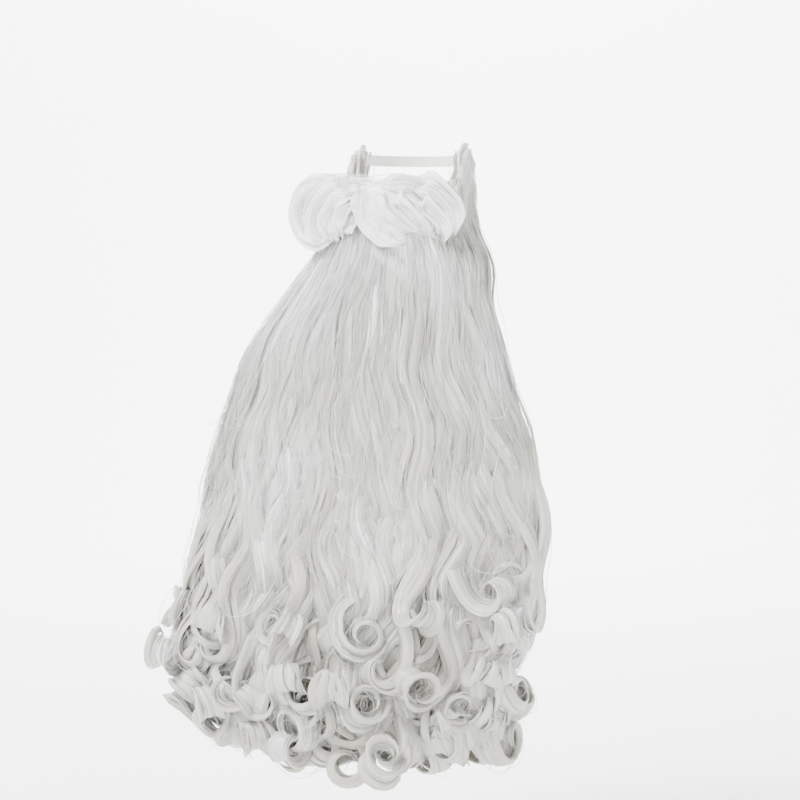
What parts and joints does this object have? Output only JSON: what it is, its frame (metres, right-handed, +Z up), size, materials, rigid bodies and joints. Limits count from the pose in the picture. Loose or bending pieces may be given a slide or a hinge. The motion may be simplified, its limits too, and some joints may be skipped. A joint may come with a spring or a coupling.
{
  "type": "fake beard",
  "caption": "Very long white costume beard of wavy hair that ends in curls, with a full moustache, a cloth backing that cups the chin, and an elastic band round the head.",
  "frame": {"origin": "the point of the chin, on the inner face of the cloth backing", "axes": "+Z up from the chin to the head, +Y back into the head, so the beard faces -Y, +X to the wearer's left"},
  "size_m": [0.5363, 0.3389, 0.8015],
  "materials": {
    "beard_hair": "white synthetic hair in wavy locks, soft satin sheen, greyer in the depths",
    "moustache_hair": "bright white synthetic hair, combed into two rolled wings",
    "backing_cloth": "off-white woven cloth with a stitched hem",
    "elastic": "white ribbed knitted elastic"
  },
  "bodies": {
    "root": {"chin_backing": "backing_cloth", "beard_fall": "beard_hair", "moustache": "moustache_hair", "elastic_band": "elastic"}
  },
  "joints": []
}
